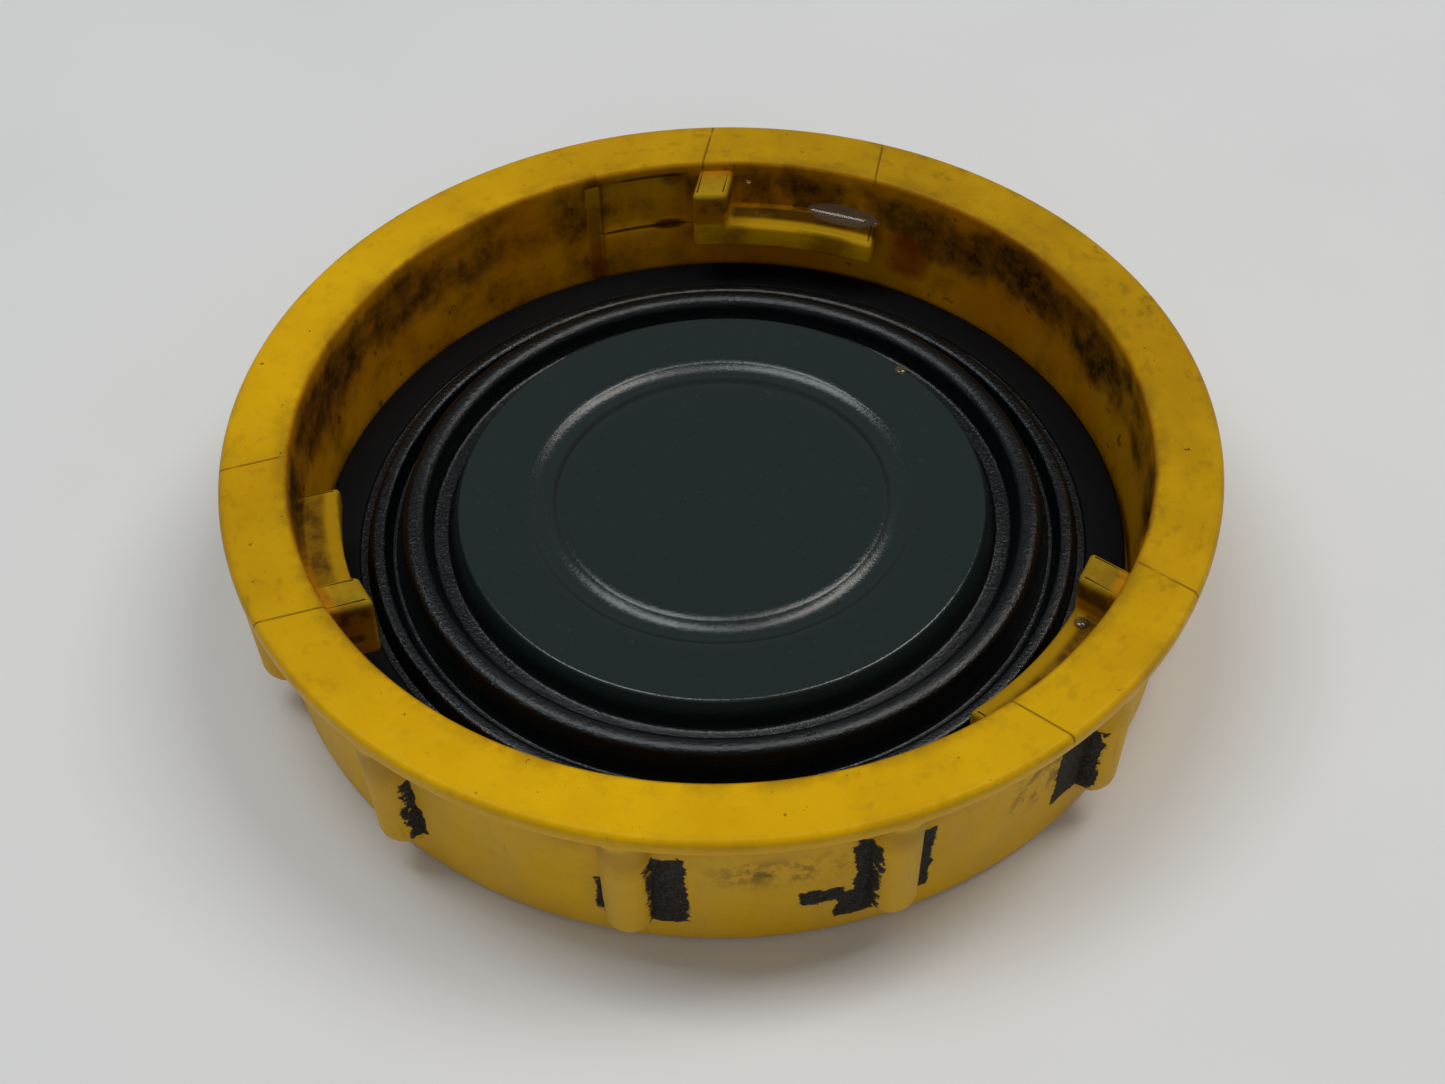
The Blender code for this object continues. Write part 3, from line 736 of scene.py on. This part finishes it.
class RESCAP_OT_add_moulding(bpy.types.Operator):
    """Add the yellow cap moulding with its lip, grip ribs, lugs and vent groove"""

    bl_idname = "reservoir_cap.add_moulding"
    bl_label = "Add Cap Moulding"

    floor_thickness = 0.0020
    seat_height = 0.0012
    seat_inner = 0.0249
    inner_draft = 0.0006
    outer_draft = 0.0010
    foot_rounding = 0.0009
    underside_slope = 0.0006
    rib_first = -131.5
    rib_end = 0.0024
    rib_draft = 0.06
    rib_blend = 0.0003
    rib_arc = 8.0
    rib_steps = 36
    plain_steps = 12
    vent_top = 0.0138
    vent_depth = 0.00035
    vent_half_width = 0.00075
    panel_span = 13.6
    panel_depth = 0.00022
    panel_low = 0.0088
    panel_high = 0.0136
    end_softness = 0.0004
    coarse_spacing = 0.008
    fine_spacing = 0.00045
    lug_steps = 48
    lug_rounding = 0.0004
    underside_depth = 0.0059

    def wall_path(self, settings):
        """Profile from the inner floor's middle, over the rim and back to the closed face's middle."""
        seat_top = self.floor_thickness + self.seat_height
        inner = RIM_RADIUS - settings.rim_width
        wall_top = RIM_RADIUS - settings.lip_overhang
        lip_low = RIM_TOP - settings.lip_thickness
        wall_foot = wall_top - self.outer_draft
        hidden = rounded_path([
            (0.0, self.floor_thickness, 0.0),
            (self.seat_inner, self.floor_thickness, 0.0002),
            (self.seat_inner, seat_top, 0.0002),
            (inner - self.inner_draft, seat_top, 0.0),
        ])
        shown = rounded_path([
            (inner - self.inner_draft, seat_top, 0.0),
            (inner, RIM_TOP, 0.00042),
            (RIM_RADIUS, RIM_TOP, 0.00045),
            (RIM_RADIUS, lip_low, 0.0007),
            (wall_top, lip_low - self.underside_slope, 0.0004),
            (wall_foot, 0.0, self.foot_rounding),
            (wall_foot - 2 * self.foot_rounding, 0.0, 0.0),
        ], steps=5)
        closed_face = [Vector((wall_foot - 2 * self.foot_rounding, 0.0)), Vector((0.0, 0.0))]
        points = filled_path(hidden, self.coarse_spacing)
        points += filled_path(shown, self.fine_spacing)[1:]
        points += filled_path(closed_face, self.coarse_spacing)[1:]
        return points

    def rib_radius_at(self, settings, wall, angle, height):
        """Distance from the axis to the nearest grip rib's surface, or a small one away from any rib."""
        pitch = 360.0 / settings.rib_count
        turn = (angle - self.rib_first + pitch / 2) % pitch - pitch / 2
        aside = math.radians(turn) * wall
        below = max(0.0, self.rib_end + settings.rib_radius - height)
        room = settings.rib_radius ** 2 - aside ** 2 - below ** 2
        crown = RIM_RADIUS - MERGE_DISTANCE - self.rib_draft * (RIM_TOP - height)
        return crown - settings.rib_radius + math.copysign(math.sqrt(abs(room)), room)

    def carve(self, bm, settings):
        """Raise the ribs, sink the vent groove and the shallow panels beside the stop blocks."""
        inner = RIM_RADIUS - settings.rim_width
        wall = RIM_RADIUS - settings.lip_overhang
        lip_face = RIM_TOP - settings.lip_thickness / 2
        for vert in bm.verts:
            radius = math.hypot(vert.co.x, vert.co.y)
            if radius < self.seat_inner:
                continue
            angle = math.degrees(math.atan2(vert.co.y, vert.co.x))
            height = vert.co.z
            new = radius
            if radius > inner + 0.001 and 0.0 < height <= lip_face:
                rib = self.rib_radius_at(settings, wall, angle, height)
                new = min(smooth_max(radius, rib, self.rib_blend), max(radius, RIM_RADIUS))
            elif radius <= inner + 0.0009 and height > FLANGE_BOTTOM - 0.0001:
                aside = math.radians(turn_between(angle, VENT_ANGLE)) * radius
                groove = smooth_step(self.vent_half_width - abs(aside), 0.0, 0.00025)
                new += self.vent_depth * groove * smooth_step(self.vent_top - height, 0.0, self.end_softness)
                for middle in LUG_MIDDLES:
                    past = turn_between(angle, middle + LUG_HALF_SPAN)
                    side = smooth_step(past, 0.0, 0.6) * smooth_step(self.panel_span - past, 0.0, 0.6)
                    rise = smooth_step(height - self.panel_low, 0.0, self.end_softness)
                    rise *= smooth_step(self.panel_high - height, 0.0, self.end_softness)
                    new += self.panel_depth * side * rise
            vert.co.x *= new / radius
            vert.co.y *= new / radius

    def lug(self, number, middle, settings, material):
        """One lug: a ledge with a rounded inner edge that ends in a taller stop block."""
        inner = RIM_RADIUS - settings.rim_width
        root = inner + 0.0010
        low = RIM_TOP - self.underside_depth
        outline = ((LUG_REACH_RADIUS, low), (root, low), (root, LEDGE_TOP), (LUG_REACH_RADIUS, LEDGE_TOP))
        stop = middle + LUG_HALF_SPAN
        bm = ring_sector(outline, stop, -2 * LUG_HALF_SPAN, self.lug_steps)
        raised = []
        for face in bm.faces:
            center = face.calc_center_median()
            angle = math.degrees(math.atan2(center.y, center.x))
            on_top = all(abs(vert.co.z - LEDGE_TOP) < MERGE_DISTANCE for vert in face.verts)
            if on_top and turn_between(stop, angle) < BLOCK_SPAN:
                raised.append(face)
        new = bmesh.ops.extrude_face_region(bm, geom=raised)["geom"]
        top_verts = [part for part in new if isinstance(part, bmesh.types.BMVert)]
        bmesh.ops.translate(bm, verts=top_verts, vec=(0.0, 0.0, BLOCK_TOP - LEDGE_TOP))
        bmesh.ops.delete(bm, geom=raised, context="FACES")
        bmesh.ops.recalc_face_normals(bm, faces=bm.faces)
        soften(bm, inner - 0.0002, self.lug_rounding, 4)
        for vert in bm.verts:
            radius = math.hypot(vert.co.x, vert.co.y)
            turn = math.atan2(vert.co.y, vert.co.x) - math.radians(middle)
            aside = math.sin(turn) * LUG_REACH_RADIUS
            bent = math.asin(aside / radius) + math.radians(middle)
            vert.co.x = radius * math.cos(bent)
            vert.co.y = radius * math.sin(bent)
        return add_object("lug_%d" % number, bm, material)

    def execute(self, context):
        settings = context.scene.reservoir_cap.moulding
        material = yellow_plastic(settings)
        pitch = 360.0 / settings.rib_count
        rib_arc = min(self.rib_arc, pitch / 2)
        plain = ((pitch - rib_arc) / 2, self.plain_steps)
        arcs = (plain, (rib_arc, self.rib_steps), plain)
        bm = lathe(self.wall_path(settings), settings.rib_count, arcs, self.rib_first - pitch / 2)
        self.carve(bm, settings)
        moulding = add_object("cap_moulding", bm, material)
        lugs = [self.lug(number, middle, settings, material) for number, middle in enumerate(LUG_MIDDLES, 1)]
        unite(moulding, lugs)
        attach(moulding, "cap")
        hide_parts("cap_shell")
        return {"FINISHED"}


class RESCAP_OT_add_diaphragm(bpy.types.Operator):
    """Add the black rubber diaphragm: flange, bead, valley, ridge, ledge and grooved centre"""

    bl_idname = "reservoir_cap.add_diaphragm"
    bl_label = "Add Rubber Diaphragm"

    groove_inset = 0.01292
    groove_half_width = 0.00108
    groove_steps = 8
    ledge_drop = 0.0021
    ridge_drop = 0.00045
    bead_height = 0.0010
    sway_height = 0.00005
    sectors = 12
    sector_steps = 30
    top_spacing = 0.0008
    under_spacing = 0.002

    def top_path(self, settings):
        """Upper surface from the centre out to the flange's edge."""
        edge = WEB_RADIUS
        ledge = DISC_TOP - self.ledge_drop
        ridge = DISC_TOP - self.ridge_drop
        bead = FLANGE_TOP + self.bead_height
        groove = edge - self.groove_inset
        points = [Vector((0.0, DISC_TOP))]
        for step in range(-self.groove_steps, self.groove_steps + 1):
            share = step / self.groove_steps
            drop = settings.groove_depth * (1 - share * share)
            points.append(Vector((groove + self.groove_half_width * share, DISC_TOP - drop)))
        return points + rounded_path([
            (edge - 0.00950, DISC_TOP, 0.0),
            (edge - 0.00705, DISC_TOP, 0.0003),
            (edge - 0.00625, ledge, 0.0003),
            (edge - 0.00515, ledge, 0.00035),
            (edge - 0.00460, ridge, 0.0008),
            (edge - 0.00323, ridge, 0.0008),
            (edge - 0.00250, FLANGE_TOP, 0.0001),
            (edge - 0.00220, FLANGE_TOP, 0.0001),
            (edge - 0.00170, bead, 0.0004),
            (edge - 0.00085, bead, 0.0004),
            (edge - 0.00045, FLANGE_TOP - 0.0002, 0.0001),
            (edge + 0.00005, FLANGE_TOP - 0.0002, 0.0001),
            (edge + 0.00020, FLANGE_TOP, 0.0001),
            (FLANGE_RADIUS, FLANGE_TOP, 0.0003),
            (FLANGE_RADIUS, FLANGE_BOTTOM, 0.0003),
            (edge + 0.0003, FLANGE_BOTTOM, 0.0003),
        ], steps=6)

    def under_path(self, settings):
        """Lower surface from the flange back to the centre."""
        web = settings.web_thickness
        edge = WEB_RADIUS
        ledge = DISC_TOP - self.ledge_drop - web
        return rounded_path([
            (edge + 0.0003, FLANGE_BOTTOM, 0.0),
            (edge, FLANGE_TOP - web, 0.0002),
            (edge - 0.0038, FLANGE_TOP - web, 0.0004),
            (edge - 0.0041, DISC_TOP - 0.0004 - web, 0.0003),
            (edge - 0.0054, ledge, 0.0004),
            (edge - 0.0075, ledge, 0.0004),
            (edge - 0.0082, DISC_BOTTOM, 0.0003),
            (0.0, DISC_BOTTOM, 0.0),
        ], steps=3)

    def execute(self, context):
        settings = context.scene.reservoir_cap.diaphragm
        points = filled_path(self.top_path(settings), self.top_spacing)
        points += filled_path(self.under_path(settings), self.under_spacing)[1:]
        bm = lathe(points, self.sectors, ((360.0 / self.sectors, self.sector_steps),))
        for vert in bm.verts:
            radius = math.hypot(vert.co.x, vert.co.y)
            folded = smooth_step(radius, FOLDS_BEGIN - 0.0008, FOLDS_BEGIN)
            folded *= smooth_step(WEB_RADIUS - radius, 0.0, 0.0006)
            sway = noise.noise(Vector((vert.co.x, vert.co.y, 0.0)) * 180.0)
            vert.co.z += self.sway_height * sway * folded
        diaphragm = add_object("rubber_diaphragm", bm, wet_rubber(settings))
        diaphragm.data.materials.append(dry_rubber(settings))
        for face in diaphragm.data.polygons:
            if math.hypot(face.center.x, face.center.y) > WEB_RADIUS + 0.00005:
                face.material_index = 1
        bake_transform(diaphragm)
        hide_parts("diaphragm_flange", "diaphragm_convolution", "diaphragm_centre")
        return {"FINISHED"}


class RESCAP_OT_add_fluid(bpy.types.Operator):
    """Add the films and drops of fluid left on the lugs and the diaphragm"""

    bl_idname = "reservoir_cap.add_fluid"
    bl_label = "Add Fluid Traces"

    wall_inset = 0.0048
    film_steps = 40

    def drop(self, name, angle, radius, height, width, body, material):
        """A low round drop that sits on a level face."""
        bm = bmesh.new()
        bmesh.ops.create_icosphere(bm, subdivisions=4, radius=width)
        for vert in bm.verts:
            vert.co.z *= 0.5 if vert.co.z > 0.0 else 0.1
        turn = math.radians(angle)
        place = Vector((radius * math.cos(turn), radius * math.sin(turn), height))
        bmesh.ops.translate(bm, verts=bm.verts, vec=place)
        item = add_object(name, bm, material)
        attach(item, body)

    def film(self, name, start, span, section, body, material):
        """A strip of fluid that follows a corner round the axis and thins out at both ends."""
        bm = ring_sector(section, 0.0, span, self.film_steps)
        corner = Vector(section[0])
        for vert in bm.verts:
            share = math.degrees(math.atan2(vert.co.y, vert.co.x)) / span
            full = math.sqrt(max(1.0 - (2.0 * share - 1.0) ** 2, 0.0)) + 0.02
            radius = math.hypot(vert.co.x, vert.co.y)
            new = corner.x + (radius - corner.x) * full
            vert.co.x *= new / radius
            vert.co.y *= new / radius
            vert.co.z = corner.y + (vert.co.z - corner.y) * full
        bmesh.ops.rotate(bm, verts=bm.verts, matrix=Matrix.Rotation(math.radians(start), 3, "Z"))
        bmesh.ops.recalc_face_normals(bm, faces=bm.faces)
        item = add_object(name, bm, material)
        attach(item, body)

    def execute(self, context):
        settings = context.scene.reservoir_cap.fluid
        material = brake_fluid(settings)
        size = settings.drop_radius
        wall = RIM_RADIUS - self.wall_inset
        reach = LUG_REACH_RADIUS
        self.drop("drop_on_lug", -32.0, reach + 0.0010, LEDGE_TOP, size, "cap", material)
        self.drop("drop_on_disc", 42.3, WEB_RADIUS - 0.0074, DISC_TOP, size * 0.9, "centre", material)
        self.drop("small_drop_on_lug", 84.5, reach + 0.0016, BLOCK_TOP, size * 0.4, "cap", material)
        lug_corner = (
            (wall + 0.0001, LEDGE_TOP - 0.0001),
            (wall + 0.0001, LEDGE_TOP + 0.0009),
            (wall - 0.0002, LEDGE_TOP + 0.00035),
            (wall - 0.0006, LEDGE_TOP + 0.00012),
            (wall - 0.0013, LEDGE_TOP + 0.00003),
            (wall - 0.0014, LEDGE_TOP - 0.0001),
        )
        self.film("film_on_lug", 64.0, 12.0, lug_corner, "cap", material)
        flange_corner = (
            (WEB_RADIUS - 0.0004, FLANGE_TOP - 0.0003),
            (WEB_RADIUS + 0.0004, FLANGE_TOP - 0.0001),
            (WEB_RADIUS + 0.0001, FLANGE_TOP + 0.00005),
            (WEB_RADIUS - 0.0002, FLANGE_TOP + 0.00015),
            (WEB_RADIUS - 0.0006, FLANGE_TOP + 0.0005),
        )
        self.film("film_by_bead", -116.0, 12.0, flange_corner, "diaphragm", material)
        return {"FINISHED"}


class RESCAP_OT_add_stage(bpy.types.Operator):
    """Add the pale floor, the soft lights and the camera"""

    bl_idname = "reservoir_cap.add_stage"
    bl_label = "Add Stage"

    def panel(self, name, place, size, power, color):
        """A soft rectangular light that faces the cap."""
        data = bpy.data.lights.new(name, "AREA")
        data.shape = "RECTANGLE"
        data.size = size[0]
        data.size_y = size[1]
        data.energy = power
        data.color = color
        light = bpy.data.objects.new(name, data)
        light.location = place
        aim = Vector((0.0, 0.0, RIM_TOP)) - Vector(place)
        light.rotation_euler = aim.to_track_quat("-Z", "Y").to_euler()
        bpy.context.scene.collection.objects.link(light)
        return light

    def execute(self, context):
        settings = context.scene.reservoir_cap.stage
        scene = context.scene
        half = settings.floor_size / 2
        bm = bmesh.new()
        bmesh.ops.create_grid(bm, x_segments=1, y_segments=1, size=half)
        mesh = bpy.data.meshes.new("floor")
        bm.to_mesh(mesh)
        bm.free()
        mesh.materials.append(pale_floor(settings))
        floor = bpy.data.objects.new("floor", mesh)
        scene.collection.objects.link(floor)

        world = bpy.data.worlds.new("studio")
        world.use_nodes = True
        background = world.node_tree.nodes["Background"]
        background.inputs["Color"].default_value = (0.92, 0.96, 1.0, 1.0)
        background.inputs["Strength"].default_value = 0.20
        scene.world = world
        power = settings.key_power
        self.panel("overhead_left", (-0.19, 0.05, 0.58), (0.20, 0.36), power, (0.90, 0.96, 1.0))
        self.panel("overhead_right", (0.27, 0.10, 0.58), (0.20, 0.36), power * 1.15, (1.0, 0.96, 0.90))
        fill = self.panel("front_fill", (0.05, -0.75, 0.42), (1.0, 0.5), power * 0.55, (1.0, 0.97, 0.93))
        fill.visible_glossy = False

        data = bpy.data.cameras.new("camera")
        data.lens = settings.lens
        data.sensor_width = 36.0
        data.clip_start = 0.005
        camera = bpy.data.objects.new("camera", data)
        elevation = settings.camera_elevation
        away = Vector((0.0, -math.cos(elevation), math.sin(elevation))) * settings.camera_distance
        camera.location = Vector((0.0, 0.0, RIM_TOP)) + away
        look = Euler((math.pi / 2 - settings.camera_tilt, 0.0, 0.0)).to_matrix()
        roll = Matrix.Rotation(settings.camera_roll, 3, "Z")
        camera.rotation_euler = (look @ roll).to_euler()
        scene.collection.objects.link(camera)
        scene.camera = camera
        scene.view_settings.view_transform = "Standard"
        return {"FINISHED"}


class RESCAP_PT_panel(bpy.types.Panel):
    """Lists the operators that build the reservoir cap"""

    bl_idname = "RESCAP_PT_panel"
    bl_label = "Reservoir Cap"
    bl_space_type = "VIEW_3D"
    bl_region_type = "UI"
    bl_category = "Reservoir Cap"

    def draw(self, context):
        settings = context.scene.reservoir_cap
        for group, operator in (
            (settings.moulding, RESCAP_OT_add_moulding),
            (settings.diaphragm, RESCAP_OT_add_diaphragm),
            (settings.fluid, RESCAP_OT_add_fluid),
            (settings.stage, RESCAP_OT_add_stage),
        ):
            box = self.layout.box()
            for name in group.__annotations__:
                box.prop(group, name)
            box.operator(operator.bl_idname)


CLASSES = (
    MouldingSettings,
    DiaphragmSettings,
    FluidSettings,
    StageSettings,
    ReservoirCapSettings,
    RESCAP_OT_add_moulding,
    RESCAP_OT_add_diaphragm,
    RESCAP_OT_add_fluid,
    RESCAP_OT_add_stage,
    RESCAP_PT_panel,
)


def register():
    for item in CLASSES:
        bpy.utils.register_class(item)
    bpy.types.Scene.reservoir_cap = bpy.props.PointerProperty(type=ReservoirCapSettings)


def unregister():
    del bpy.types.Scene.reservoir_cap
    for item in reversed(CLASSES):
        bpy.utils.unregister_class(item)


def main():
    register()
    bpy.ops.reservoir_cap.add_moulding()
    bpy.ops.reservoir_cap.add_diaphragm()
    bpy.ops.reservoir_cap.add_fluid()
    bpy.ops.reservoir_cap.add_stage()


if __name__ == "__main__":
    main()
